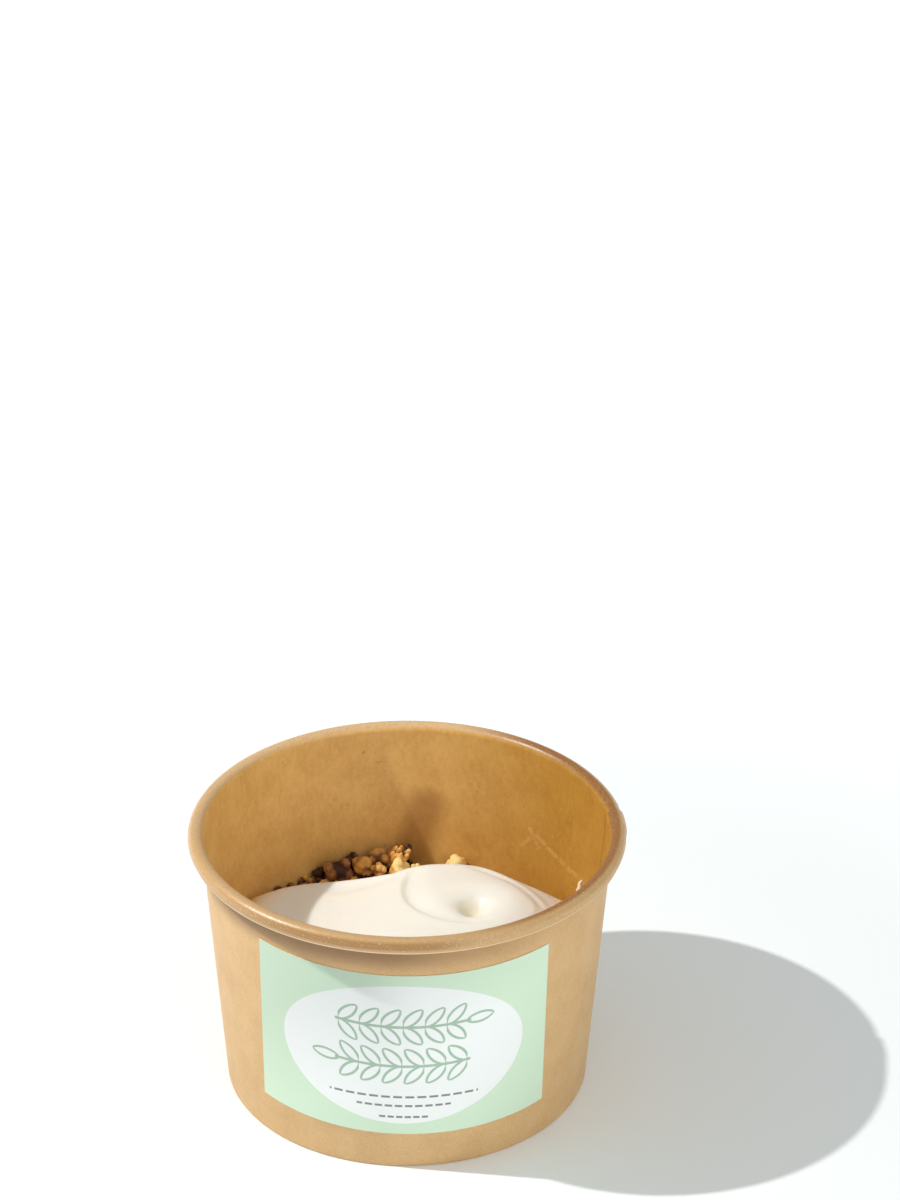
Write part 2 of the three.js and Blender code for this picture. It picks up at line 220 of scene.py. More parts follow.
class Finish:
    def __init__(self, name, **constants):
        self.material = bpy.data.materials.new(name)
        self.material.use_nodes = True
        self.tree = self.material.node_tree
        self.shader = self.tree.nodes["Principled BSDF"]
        self.place = self.add("ShaderNodeTexCoord", {}, {}, "Object")
        for name, value in constants.items():
            socket = name.replace("_", " ").title().replace("Ior", "IOR")
            self.shader.inputs[socket].default_value = value

    def feed(self, socket, value):
        if isinstance(value, Wire):
            self.tree.links.new(value.socket, socket)
        else:
            socket.default_value = value

    def add(self, kind, settings, sockets, output=0):
        node = self.tree.nodes.new(kind)
        for name, value in settings.items():
            if name == "stops":
                stops = node.color_ramp.elements
                stops.remove(stops[-1])
                stops[0].position, stops[0].color = value[0]
                for position, colour in value[1:]:
                    stops.new(position).color = colour
            else:
                setattr(node, name, value)
        for name, value in sockets.items():
            self.feed(node.inputs[name], value)
        return Wire(self, node.outputs[output])

    def blend(self, share, first, second, mode="MIX"):
        settings = {"data_type": "RGBA", "blend_type": mode}
        return self.add("ShaderNodeMix", settings, {0: share, 6: first, 7: second}, 2)

    def noise(self, featureMm, detail=2.0, stretch=(1, 1, 1), roughness=0.5):
        scaled = tuple(1000 / featureMm / side for side in stretch)
        settings = {"operation": "MULTIPLY"}
        spots = self.add("ShaderNodeVectorMath", settings, {0: self.place, 1: scaled})
        sockets = {"Vector": spots, "Scale": 1.0, "Detail": detail, "Roughness": roughness}
        return self.add("ShaderNodeTexNoise", {}, sockets)

    def axes(self):  # millimetres
        split = [self.add("ShaderNodeSeparateXYZ", {}, {0: self.place}, side) for side in "XYZ"]
        return [side * 1000 for side in split]

    def nearLine(self, start, end):  # distance in millimetres to the line from start to end
        along = end - start
        away = self.add("ShaderNodeVectorMath", {"operation": "SUBTRACT"}, {0: self.place, 1: start})
        dot = self.add("ShaderNodeVectorMath", {"operation": "DOT_PRODUCT"}, {0: away, 1: along}, "Value")
        share = (dot / along.length_squared).most(0.0).least(1.0)
        spot = self.add("ShaderNodeVectorMath", {"operation": "SCALE"}, {0: along, "Scale": share})
        return self.add("ShaderNodeVectorMath", {"operation": "DISTANCE"}, {0: away, 1: spot}, "Value") * 1000

    def bump(self, height, depthMm, strength=1.0, below=None):
        sockets = {"Strength": strength, "Distance": depthMm * mm, "Height": height}
        if below is not None:
            sockets["Normal"] = below
        return self.add("ShaderNodeBump", {}, sockets)

    def done(self, **sockets):
        for name, value in sockets.items():
            self.feed(self.shader.inputs[name.replace("_", " ").title()], value)
        return self.material


# Camera, light and floor

view = {
    "place": (-1.17, -842.92, 575.04),  # millimetres
    "down": 27.259,
    "right": 0.819,
    "roll": -0.356,
    "lens": 111.93,
    "keyPlace": (-631.6, -20.7, 766.1),  # a small lamp above the left side
    "keyWatts": 28,
    "keyRadius": 9,
    "keyColour": (1.0, 0.99, 0.98),
    "fillTurn": 40,  # a large soft panel, in front to the right
    "fillHeight": 24,
    "fillAway": 1600,
    "fillWidth": 1600,
    "fillWatts": 9.5,
    "fillColour": (0.99, 1.0, 0.965),
    "skyColour": (0.965, 1.0, 1.0),
    "skyStrength": 0.44,
    "floor": paint(250, 254, 255),
    "floorDull": paint(235, 235, 233),
    "floorSide": 24.0,  # metres
    "glow": (0.7, 0.7, 0.7, 1),  # the floor far from the cup stays white without more lamps
    "glowFrom": 125,
    "glowTo": 480,
}


def setView():
    camera = bpy.data.objects.new("camera", bpy.data.cameras.new("camera"))
    bpy.context.collection.objects.link(camera)
    down = math.radians(view["down"])
    right = math.radians(view["right"])
    aim = Vector((math.sin(right) * math.cos(down), math.cos(right) * math.cos(down), -math.sin(down)))
    turn = aim.to_track_quat("-Z", "Y").to_matrix() @ Matrix.Rotation(math.radians(-view["roll"]), 3, "Z")
    camera.matrix_world = Matrix.Translation(Vector(view["place"]) * mm) @ turn.to_4x4()
    camera.data.lens = view["lens"]
    camera.data.sensor_width = 36
    camera.data.clip_start = 0.01
    camera.data.clip_end = 50
    bpy.context.scene.camera = camera


def setLight():
    key = bpy.data.objects.new("key lamp", bpy.data.lights.new("key lamp", "POINT"))
    bpy.context.collection.objects.link(key)
    key.location = Vector(view["keyPlace"]) * mm
    key.data.energy = view["keyWatts"]
    key.data.color = view["keyColour"]
    key.data.shadow_soft_size = view["keyRadius"] * mm
    fill = bpy.data.objects.new("soft panel", bpy.data.lights.new("soft panel", "AREA"))
    bpy.context.collection.objects.link(fill)
    height = math.radians(view["fillHeight"])
    away = view["fillAway"]
    fill.location = atAzimuth(away * math.cos(height), view["fillTurn"], away * math.sin(height))
    fill.rotation_euler = (-fill.location).to_track_quat("-Z", "Y").to_euler()
    fill.data.shape = "DISK"
    fill.data.size = view["fillWidth"] * mm
    fill.data.energy = view["fillWatts"]
    fill.data.color = view["fillColour"]
    world = bpy.data.worlds.new("studio")
    world.use_nodes = True
    world.node_tree.nodes["Background"].inputs["Color"].default_value = (*view["skyColour"], 1)
    world.node_tree.nodes["Background"].inputs["Strength"].default_value = view["skyStrength"]
    bpy.context.scene.world = world
    bpy.context.scene.view_settings.view_transform = "Standard"


def layFloor():
    floor = startPiece("floor", bpy.ops.mesh.primitive_plane_add, size=view["floorSide"])
    finish = Finish("pale floor", roughness=0.9, emission_strength=1.0)
    tint = finish.blend(finish.noise(40) * 0.04, view["floor"], view["floorDull"])
    across, along, _ = finish.axes()
    away = (across ** 2 + along ** 2) ** 0.5
    glow = finish.blend(away.fade(view["glowFrom"], view["glowTo"]), (0, 0, 0, 1), view["glow"])
    giveFinish(floor, finish.done(base_color=tint, emission_color=glow))


setView()
setLight()
layFloor()
print("view, light and floor are set")


# Kraft board: the raw outside, the lined inside and the cut edges

board = {
    "outside": paint(211, 173, 120),
    "outsideDark": paint(195, 153, 98),
    "lined": paint(233, 187, 110),
    "linedDark": paint(211, 158, 82),
    "linedShadedRight": paint(190, 141, 56),  # painted light: the lining is painted lighter at the left and back and darker at the right, for sheen and light that fall unevenly inside the cup
    "linedShadedRightDark": paint(172, 119, 38),
    "rolled": paint(196, 158, 108),  # the lining pales where the rim is rolled
    "rolledBack": paint(217, 180, 132),
    "rolledRight": paint(144, 90, 26),
    "rolledShadeBand": paint(160, 118, 68),
    "rolledGrain": paint(172, 132, 84),
    "lipEdge": paint(240, 214, 176),
    # painted shadow under the rim, on the outside of the wall
    "paintedRimShadow": paint(118, 80, 38),
    "cutEdge": paint(222, 190, 144),
    "fleck": paint(120, 78, 38),
    "paleFibre": paint(235, 210, 170),
    # painted shadow: a dark line down the lining beside the seam
    "paintedStreamShadow": paint(140, 84, 30),
    # painted shade on the lining above the granola
    "granolaShade": paint(140, 80, 18),
    "crease": paint(226, 178, 108),
}


def paperTone(finish, light, dark, upright, streaked=0.75):  # clouds, streaks, fibres and flecks
    clouds = finish.noise(9, 4.0)
    streaks = finish.noise(1.5, 3.0, stretch=(1, 1, upright), roughness=0.6)
    grain = finish.noise(0.5, 2.0)
    share = (clouds * 0.9 + streaks * streaked + grain * (1.3 - streaked) - 0.72).fade(0.0, 0.9)
    tone = finish.blend(share, light, dark)
    fibres = finish.noise(0.7, 1.0, stretch=(1, 1, upright * 0.8)).fade(0.6, 0.85)
    tone = finish.blend(fibres * (0.3 - streaked * 0.24), tone, board["paleFibre"])
    flecks = finish.noise(1.9, 1.0, stretch=(1, 1, 1.5)).fade(0.735, 0.775)
    return finish.blend(flecks * streaked * 0.45, tone, board["fleck"])


def paperRelief(finish, depth):
    height = finish.noise(0.7, 3.0, stretch=(1, 1, 1.8)) + finish.noise(4.5, 2.0, stretch=(1, 1, 2.0)) * 2.2
    return finish.bump(height, depth)


def outsideBoard():
    finish = Finish("kraft board outside", specular_ior_level=0.7)
    tone = paperTone(finish, board["outside"], board["outsideDark"], 2.0, streaked=0.3)
    across, _, height = finish.axes()
    share = 0.12 + across.fade(42, 16) * 0.38 + across.fade(18, -8) * 0.35
    underRimShadow = height.fade(60, 68) * share  # painted shadow: darker under the rim, most at the left, where the rim's shadow falls
    tone = finish.blend(underRimShadow, tone, board["paintedRimShadow"])
    gloss = 0.46 + finish.noise(2.5, 2.0) * 0.14
    return finish.done(base_color=tone, roughness=gloss, normal=paperRelief(finish, 0.05))


def cutBoard():
    finish = Finish("cut board edge", specular_ior_level=0.25)
    layers = finish.noise(0.6, 2.0)
    tone = finish.blend(layers, board["cutEdge"], board["outsideDark"])
    return finish.done(base_color=tone, roughness=0.85 - layers * 0.1, normal=finish.bump(layers, 0.05))


creases = [  # light crease lines in the lining, from and to: azimuth and height
    ((139.1, 49.4), (138.2, 47.6)),
    ((138.2, 47.6), (141.2, 43.8)),
    ((138.2, 47.6), (135.5, 45.2)),
    ((136.2, 48.2), (129.5, 45.9)),
    ((129.5, 45.9), (120.1, 44.1)),
    ((120.1, 44.1), (111.4, 45.2)),
]


def linedBoard():
    finish = Finish("kraft board lined inside", specular_ior_level=0.5, coat_roughness=0.3)
    across, along, height = finish.axes()
    # painted light: the lining is lighter to the left and back, with painted shade to the right
    rightShadeShare = across.fade(-8, 46)
    light = finish.blend(rightShadeShare, board["lined"], board["linedShadedRight"])
    dark = finish.blend(rightShadeShare, board["linedDark"], board["linedShadedRightDark"])
    tone = paperTone(finish, light, dark, 1.6)
    radius = (across ** 2 + along ** 2) ** 0.5
    outward = radius.fade(55.0, 55.8) * height.fade(68.5, 69.5)
    rolled = finish.blend(along.fade(-15, 40), board["rolled"], board["rolledBack"])
    # painted shade: a darker band along the middle of the rolled rim at the front left, where its face turns
    # away from the light
    rimBandShade = height.fade(71.0, 72.3) * height.fade(74.3, 73.4) * along.fade(10, -25)
    rimBandShade = rimBandShade * across.fade(20, 4) * across.fade(-58, -26)
    rolled = finish.blend(rimBandShade, rolled, board["rolledShadeBand"])
    rolled = finish.blend(across.fade(10, 38) * radius.fade(56.7, 55.4), rolled, board["rolledRight"])
    grain = finish.noise(0.6, 4.0, roughness=0.7).fade(0.4, 0.7)
    rolled = finish.blend(grain * 0.45, rolled, board["rolledGrain"])
    rolled = finish.blend(finish.noise(0.5, 2.0).fade(0.55, 0.8) * 0.4, rolled, board["paleFibre"])
    lip = (height - 70.7).size().fade(0.45, 0.1)
    rolled = finish.blend(lip * 0.5, rolled, board["lipEdge"])
    tone = finish.blend(outward.most(height.fade(73.2, 74.2)), tone, rolled)
    crease = None
    for start, end in creases:
        ends = [atAzimuth(wallInside(z), azimuth, z) for azimuth, z in (start, end)]
        away = finish.nearLine(*ends)
        crease = away if crease is None else crease.least(away)
    mark = crease.fade(1.5, 0.0) * finish.noise(2.0, 1.0).fade(0.25, 0.65)
    tone = finish.blend(mark * 0.4, tone, board["crease"])
    # painted shadow: a dark brown line down the lining beside the seam's inner edge stands in for a thin cast
    # shadow
    shadowAzimuth = seam["innerEdge"] + 0.9
    shadowLine = finish.nearLine(atAzimuth(wallInside(46), shadowAzimuth, 40), atAzimuth(wallInside(71), shadowAzimuth, 71))
    tone = finish.blend(shadowLine.fade(1.5, 0.5) * 0.85, tone, board["paintedStreamShadow"])
    # painted shade: the lining is darker just above the granola at the back, where shade gathers
    granolaShade = finish.nearLine(atAzimuth(51, 178, 36), atAzimuth(52, 174, 50)).fade(8, 1.5)
    tone = finish.blend(granolaShade * 0.55, tone, board["granolaShade"])
    gloss = 0.4 + finish.noise(1.6, 3.0, stretch=(1, 1, 3)) * 0.16 - height.fade(73.4, 74.0) * 0.12
    relief = finish.bump(mark, 0.12, below=paperRelief(finish, 0.05))
    return finish.done(base_color=tone, roughness=gloss, normal=relief, coat_weight=0.1)


# The wall: one sheet of board rolled past a full turn, with a rolled rim and a hem

wall = {
    "height": 74.5,
    "rimRadius": 57.5,
    "footRadius": 48.4,
    "slope": 0.078,
    "paper": 0.5,
    "curlRadius": 2.1,
    "curlEnd": -122,
    "neckDrop": 2.6,
    "hemHeight": 6.5,
    "hemGap": 0.3,
    "steps": 276,
    "curlSteps": 40,
    "upSteps": 16,
    "lipAngle": -57,  # the pressed ridge under the roll
    "lipHeight": 0.2,
    "grooveAngle": -26,
    "grooveDepth": 0.22,
}
seam = {  # azimuths in degrees, heights in millimetres
    "outerEdge": 90.5,
    "innerEdge": 98.5,
    "blend": 4.5,
    "nip": 0.8,  # the inner layer's corner is nipped off under the rim
    "nipFrom": 70.5,
    "nipTo": 72.5,
}


def wallOutside(z):
    return wall["footRadius"] + wall["slope"] * z


def wallInside(z):
    return wallOutside(z) - wall["paper"]


def sheetLine():  # the board's middle line: radius, height and the direction to the food side
    half = wall["paper"] / 2
    lean = math.atan(wall["slope"])
    foldRadius = half + wall["hemGap"] + half
    foldZ = (foldRadius + half) * math.sin(math.radians(60))
    foldR = wallOutside(foldZ) - half - foldRadius
    line = []
    for share in (0, 0.5):
        z = mix(wall["hemHeight"], foldZ, share)
        line.append((foldR - foldRadius + wall["slope"] * (z - foldZ), z, math.cos(lean), -math.sin(lean)))
    for turn in (180, 200, 220, 240, 300, 320, 340, 360):
        angle = math.radians(turn)
        line.append((foldR + foldRadius * math.cos(angle), foldZ + foldRadius * math.sin(angle),
                     -math.cos(angle), -math.sin(angle)))
    curlR = wall["rimRadius"] - wall["curlRadius"]
    curlZ = wall["height"] - wall["curlRadius"]
    for step in range(1, wall["upSteps"] + 1):
        z = mix(foldZ, curlZ - wall["neckDrop"], step / wall["upSteps"])
        line.append((wallOutside(z) - half, z, -math.cos(lean), math.sin(lean)))
    for step in range(wall["curlSteps"] + 1):
        turn = mix(180, wall["curlEnd"], step / wall["curlSteps"])
        angle = math.radians(turn)
        ridge = wall["lipHeight"] * bell(turn - wall["lipAngle"], 11)
        groove = wall["grooveDepth"] * bell(turn - wall["grooveAngle"], 15)
        reach = wall["curlRadius"] - half + ridge - groove
        line.append((curlR + reach * math.cos(angle), curlZ + reach * math.sin(angle),
                     math.cos(angle), math.sin(angle)))
    return line


def seamLift(azimuth):  # how far the sheet moves to the food side beside and on its overlap
    half = wall["paper"] / 2 + 0.005
    outer = -half * (1 - smooth(azimuth, seam["innerEdge"], seam["innerEdge"] + seam["blend"]))
    inner = half * smooth(azimuth, 360 + seam["outerEdge"] - seam["blend"], 360 + seam["outerEdge"])
    return outer + inner


def rollWall():
    line = sheetLine()
    overlap = 360 + seam["innerEdge"] - seam["outerEdge"]
    points = [Vector((r, 0, z)) * mm for r, z, _, _ in line]
    sheet = drawProfile("paper_wall", points)
    turnProfile(sheet, wall["steps"], overlap)

    def place(column, row):
        r, z, toFoodR, toFoodZ = line[row]
        azimuth = seam["outerEdge"] + overlap * column / wall["steps"]
        lift = seamLift(azimuth)
        lowest = wall["paper"] / 2 + 0.002 + 2 * max(0, lift)
        highest = wall["height"] + 0.2 - wall["paper"] / 2
        if column == wall["steps"]:
            azimuth -= seam["nip"] * smooth(z, seam["nipFrom"], seam["nipTo"])
        return atAzimuth(r + toFoodR * lift, azimuth, clamp(z + toFoodZ * lift, lowest, highest))

    placeCorners(sheet, points, place)
    openPiece(sheet)
    bpy.ops.mesh.normals_make_consistent(inside=False)
    closePiece()
    middle = min(sheet.data.polygons, key=lambda face: (face.center - atAzimuth(51, 0, 35)).length)
    if middle.normal.y > 0:
        sheet.data.flip_normals()
    giveFinish(sheet, outsideBoard(), linedBoard(), cutBoard())
    applyModifier(sheet, "SOLIDIFY", thickness=wall["paper"] * mm, offset=0, use_even_offset=True,
                  material_offset=1, material_offset_rim=2)
    smoothPiece(sheet)
    standIn(sheet, "cup_wall")


rollWall()
print("the wall is rolled")


# The base: a raised disc with its skirt turned down inside the hem

base = {"top": 8.2, "corner": 1.4, "skirtBottom": 1.7, "gap": 0.3, "steps": 144, "dish": 0.25}


def turnBase():
    paper = wall["paper"]
    skirt = lambda z: wallInside(z) - base["gap"]
    cornerZ = base["top"] - base["corner"]
    cornerR = skirt(cornerZ) - base["corner"]
    spots = [(0, base["top"] - base["dish"]), (cornerR * 0.5, base["top"] - base["dish"] * 0.9)]
    spots += [(cornerR * 0.9, base["top"] - base["dish"] * 0.3), (cornerR, base["top"])]
    for turn in (67, 45, 22, 0):
        angle = math.radians(turn)
        spots.append((cornerR + base["corner"] * math.cos(angle), cornerZ + base["corner"] * math.sin(angle)))
    spots += [(skirt(4), 4), (skirt(base["skirtBottom"]), base["skirtBottom"])]
    spots += [(skirt(base["skirtBottom"]) - paper, base["skirtBottom"]), (skirt(4) - paper, 4)]
    bend = base["corner"] - paper
    for turn in (0, 30, 60, 90):
        angle = math.radians(turn)
        spots.append((cornerR + bend * math.cos(angle), cornerZ + bend * math.sin(angle)))
    spots += [(cornerR * 0.9, base["top"] - base["dish"] * 0.3 - paper)]
    spots += [(cornerR * 0.5, base["top"] - base["dish"] * 0.9 - paper)]
    spots += [(0, base["top"] - base["dish"] - paper)]
    disc = drawProfile("paper_base", [Vector((r, 0, z)) * mm for r, z in spots])
    turnProfile(disc, base["steps"], 360)
    sealSurface(disc)
    giveFinish(disc, outsideBoard())
    smoothPiece(disc)
    standIn(disc, "cup_base")


turnBase()
print("the base is turned")


# The label: a flat rectangle of paper wrapped on the cone of the wall

label = {
    "width": 81,
    "height": 51,
    "thickness": 0.15,
    "gap": 0.05,
    "centreHeight": 36.5,
    "centreAzimuth": -1.5,
    "tilt": 0.5,
    "mint": paint(206, 228, 203),
    "mintDeep": paint(201, 223, 198),
    "panel": paint(237, 240, 239),
    "sage": paint(160, 187, 166),
    "ink": paint(92, 97, 97),
    "edge": paint(243, 240, 214),
    "edgeDeep": paint(226, 222, 190),
    "panelX": 0.1,  # all in millimetres from the label's middle
    "panelY": 0.75,
    "panelHalfWidth": 32.6,
    "panelUp": 21.5,
    "panelDown": 22.8,
}

sprig = {  # all in millimetres from the oval field's middle
    "rows": ((9.2, 1), (-3.4, -1)),  # height on the label, and 1 or -1 for the way that it points
    "bend": 21,
    "stem": 0.42,
    "stemHalf": 17.6,
    "tip": 16.4,
    "pairs": 6,
    "pitch": 5.6,
    "lean": 48,  # degrees
    "grain": 7.4,
    "grainHalf": 1.45,
    "line": 0.36,
}
rules = ((-13.4, 19.5, 3.1), (-16.3, 12.2, 2.6), (-19.9, 6.3, 2.2))  # height, half length and dash pitch


def wrapOnWall(across, up, standOff):
    lean = math.atan(wall["slope"])
    apexDepth = wall["footRadius"] / wall["slope"]
    tilt = math.radians(label["tilt"])
    u = across * math.cos(tilt) + up * math.sin(tilt)
    v = up * math.cos(tilt) - across * math.sin(tilt)
    toCentre = (label["centreHeight"] + apexDepth) / math.cos(lean)
    slant = math.hypot(u, toCentre + v)
    azimuth = label["centreAzimuth"] + math.degrees(math.atan2(u, toCentre + v)) / math.sin(lean)
    height = slant * math.cos(lean) - apexDepth
    radius = slant * math.sin(lean) + standOff * math.cos(lean)
    return atAzimuth(radius, azimuth, height - standOff * math.sin(lean))


def printedPaper():
    finish = Finish("printed label paper", specular_ior_level=0.4)
    spot = finish.add("ShaderNodeUVMap", {"uv_map": "UVMap"}, {})
    x = finish.add("ShaderNodeSeparateXYZ", {}, {0: spot}, "X") * label["width"] - label["width"] / 2
    y = finish.add("ShaderNodeSeparateXYZ", {}, {0: spot}, "Y") * label["height"] - label["height"] / 2
    edge = 0.09  # how soft a printed edge is
    mottle = finish.noise(0.35, 2.0)
    tone = finish.blend(mottle * 0.35, label["mint"], label["mintDeep"])

    # the egg-shaped field
    fromX = (x - label["panelX"]).size() / label["panelHalfWidth"]
    fromY = y - label["panelY"]
    above = (fromY.most(0.0) / label["panelUp"]) ** 1.97 + fromX ** 1.97
    below = ((0 - fromY).most(0.0) / label["panelDown"]) ** 1.98 + fromX ** 1.98
    isAbove = fromY.join("GREATER_THAN", 0.0)
    egg = above * isAbove + below * (1 - isAbove)
    tone = finish.blend(egg.fade(1.006, 0.996), tone, label["panel"])

    # two oat sprigs: a stem with pairs of pointed grains and one at its tip
    def grainOutline(out, side):
        share = (out / sprig["grain"]).most(0.0).least(1.0)
        bulge = (share * (1 - share) * 4).most(0.0) ** 0.75 * sprig["grainHalf"]
        outline = (side.size() - bulge).size() - sprig["line"]
        inLength = (out - (sprig["grain"] + 0.1)).fade(edge, -edge)
        return outline.fade(edge, -edge) * inLength * (0.2 - out).fade(edge, -edge)

    inked = None
    lean = math.radians(sprig["lean"])
    for middleY, turned in sprig["rows"]:
        along = (x - label["panelX"]) * turned
        up = y - middleY - ((along / sprig["bend"]) ** 2) * 1.2
        inStem = (up.size() - sprig["stem"]).fade(edge, -edge)
        inStem = inStem * (along.size() - sprig["stemHalf"]).fade(edge, -edge)
        inked = inStem if inked is None else inked.most(inStem)
        inked = inked.most(grainOutline(along - sprig["tip"], up))
        for before in (0, 1):  # a pair of grains reaches past the next pair's foot
            cell = (along / sprig["pitch"]).join("FLOOR") - before
            inCell = along - cell * sprig["pitch"]
            out = inCell * math.cos(lean) + up.size() * math.sin(lean)
            side = up.size() * math.cos(lean) - inCell * math.sin(lean)
            isWhole = (cell + 0.5).size().join("LESS_THAN", sprig["pairs"] / 2)
            inked = inked.most(grainOutline(out, side) * isWhole)
    rough = finish.noise(0.5, 2.0).fade(0.25, 0.45)
    tone = finish.blend(inked * (0.8 + rough * 0.2), tone, label["sage"])

    # three fine rules of short dashes
    for middleY, half, pitch in rules:
        along = x - label["panelX"] - 0.4
        dash = ((along / pitch).join("FRACT") - 0.5).size()
        inDash = (dash - 0.37).fade(0.03, -0.03) * (along.size() - half).fade(edge, -edge)
        inDash = inDash * ((y - middleY).size() - 0.34).fade(edge, -edge)
        tone = finish.blend(inDash * 0.85, tone, label["ink"])
    # painted shadow of the rim across the label's top
    rimShadowOnLabel = ((y - 24.5) + (x + 25) * 0.4).fade(-0.6, 1.6) * x.fade(6, -12)
    labelShade = (y * 0.006 - x * 0.0035 + 0.03).most(0.0).least(0.2) + rimShadowOnLabel * 0.12  # painted shade: deeper at the upper left, with a painted shadow of the rim along the top
    tone = finish.blend(labelShade, tone, (0, 0, 0, 1), "MULTIPLY")
    relief = finish.bump(finish.noise(0.45, 2.0) + finish.noise(6.0) * 0.8, 0.02)
    return finish.done(base_color=tone, roughness=0.42 + mottle * 0.08, normal=relief)


def labelEdge():
    finish = Finish("label paper edge", specular_ior_level=0.3)
    tone = finish.blend(finish.noise(0.8) * 0.4, label["edge"], label["edgeDeep"])
    return finish.done(base_color=tone, roughness=0.7)


def wrapLabel():
    squares = {"x_subdivisions": 90, "y_subdivisions": 30, "size": 1, "calc_uvs": True}
    paper = startPiece("label_paper", bpy.ops.mesh.primitive_grid_add, **squares)
    for vertex in paper.data.vertices:
        across = vertex.co.x * label["width"]
        up = vertex.co.y * label["height"]
        vertex.co = wrapOnWall(across, up, label["gap"] + label["thickness"] / 2)
    if paper.data.polygons[0].normal.y > 0:
        paper.data.flip_normals()
    giveFinish(paper, printedPaper(), labelEdge())
    applyModifier(paper, "SOLIDIFY", thickness=label["thickness"] * mm, offset=0, use_even_offset=True,
                  material_offset=1, material_offset_rim=1)
    smoothPiece(paper)
    standIn(paper, "label")


wrapLabel()
print("the label is wrapped")


# The yogurt: poured on the granola, against the wall at the sides and the front

poured = {
    "underside": 30.35,
    "level": 45.2,
    "leftLevel": 41.2,
    "leftStart": -22,
    "leftEnd": 7,
    "lipWidth": 9,
    "wallBlend": 10,
    "wallHeightLeft": 34.6,
    "wallHeightFront": 41,
    "wallHeightRight": 37.5,
    "intoWall": 0.12,
    "columns": 288,
    "cream": paint(240, 238, 230),
    "creamDeep": paint(240, 233, 215),
    "wallShade": paint(246, 208, 148),  # painted shade: browner near the wall, most at the left, for the wall's shade and its brown reflected light
    "craterShade": paint(240, 224, 180),
    "smear": paint(250, 240, 220),
    "smearDeep": paint(240, 218, 178),
}
crater = {
    "x": 17.9,
    "y": 6.2,
    "depth": 4.7,
    "width": 3.2,
    "ringRadius": 10,
    "ringRise": 1.2,
    "ringTilt": 0.55,
    "ringWidth": 6,
    "shoulder": 16,
    "fall": 0.36,
}
leftLobe = {"x": -17, "across": 38, "back": 25.4}
rightLobe = {"x": 12, "across": 38, "back": 29.3}
leftFold = {"x": 18.7, "y": 17, "radius": 19, "inner": 3.4, "outer": 1.0,
            "middle": 215, "halfTurn": 75, "fade": 30, "depth": 1.15}
backFold = {"x": -3.8, "y": -9.9, "radius": 43.2, "inner": 1.6, "outer": 1.2,
            "middle": 42, "halfTurn": 24, "fade": 10, "depth": 0.8}
edgeFold = {"x": -4, "y": -39.6, "radius": 62.8, "inner": 1.8, "outer": 1.2,
            "middle": 99, "halfTurn": 9, "fade": 6, "depth": 0.4}
lipFold = {"x": -10, "y": -12, "radius": 36.5, "inner": 2.2, "outer": 1.4,
           "middle": 92, "halfTurn": 22, "fade": 14, "depth": 0.5}


def lobeReach(lobe, dx, dy):
    fromX = crater["x"] - lobe["x"]
    a = (dx / lobe["across"]) ** 2 + (dy / lobe["back"]) ** 2
    b = fromX * dx / lobe["across"] ** 2
    c = (fromX / lobe["across"]) ** 2 - 1
    return (-b + math.sqrt(b * b - a * c)) / a


def wallReach(dx, dy, z, inset):
    radius = wallInside(z) - inset
    b = crater["x"] * dx + crater["y"] * dy
    c = crater["x"] ** 2 + crater["y"] ** 2 - radius ** 2
    return -b + math.sqrt(b * b - c)


def freeReach(dx, dy):
    if dy <= 0:
        return 2 * wall["rimRadius"]
    return max(lobeReach(leftLobe, dx, dy), lobeReach(rightLobe, dx, dy))


def heightAtWall(x, y):
    front = clamp(-y / wall["footRadius"])
    side = poured["wallHeightRight"] if x > 0 else poured["wallHeightLeft"]
    return mix(side, poured["wallHeightFront"], smooth(front, 0, 0.8))


def spotOnArc(x, y, arc, past=0):  # how far outside the arc's line, and 1 on its length, 0 past its ends
    distance = math.hypot(x - arc["x"], y - arc["y"]) - arc["radius"]
    turn = math.degrees(math.atan2(y - arc["y"], x - arc["x"]))
    fromMiddle = abs((turn - arc["middle"] + 540) % 360 - 180)
    return distance, 1 - smooth(fromMiddle, arc["halfTurn"] - arc["fade"], arc["halfTurn"] + past)


def alongArc(x, y, arc):  # deepest on the arc's line, nothing a few widths away
    distance, share = spotOnArc(x, y, arc)
    return arc["depth"] * share * bell(distance, arc["outer"] if distance > 0 else arc["inner"])


def beyondArc(x, y, arc, drop, width):  # the surface steps down past the arc
    distance, share = spotOnArc(x, y, arc, 6)
    return drop * share * smooth(distance, 0, width)


def pouredHeight(x, y):
    fromCrater = math.hypot(x - crater["x"], y - crater["y"])
    toRight = (x - crater["x"]) / max(fromCrater, 1)
    ringHeight = crater["ringRise"] + crater["ringTilt"] * toRight
    ring = ringHeight * bell(fromCrater - crater["ringRadius"], crater["ringWidth"])
    hollow = crater["depth"] * bell(fromCrater, crater["width"])
    eastward = smooth(x - crater["x"], 0, crater["shoulder"]) * smooth(y, -28, 6)
    falling = crater["fall"] * eastward * max(0, fromCrater - crater["shoulder"])
    level = mix(poured["leftLevel"], poured["level"], smooth(x, poured["leftStart"], poured["leftEnd"]))
    backFall = 0.05 * max(0, y - 8) * smooth(-x, 0, 12)
    folds = alongArc(x, y, leftFold) + alongArc(x, y, backFold)
    folds += alongArc(x, y, lipFold) + alongArc(x, y, edgeFold) + beyondArc(x, y, backFold, 1.0, 5)
    return level + ring - hollow - falling - backFall - folds


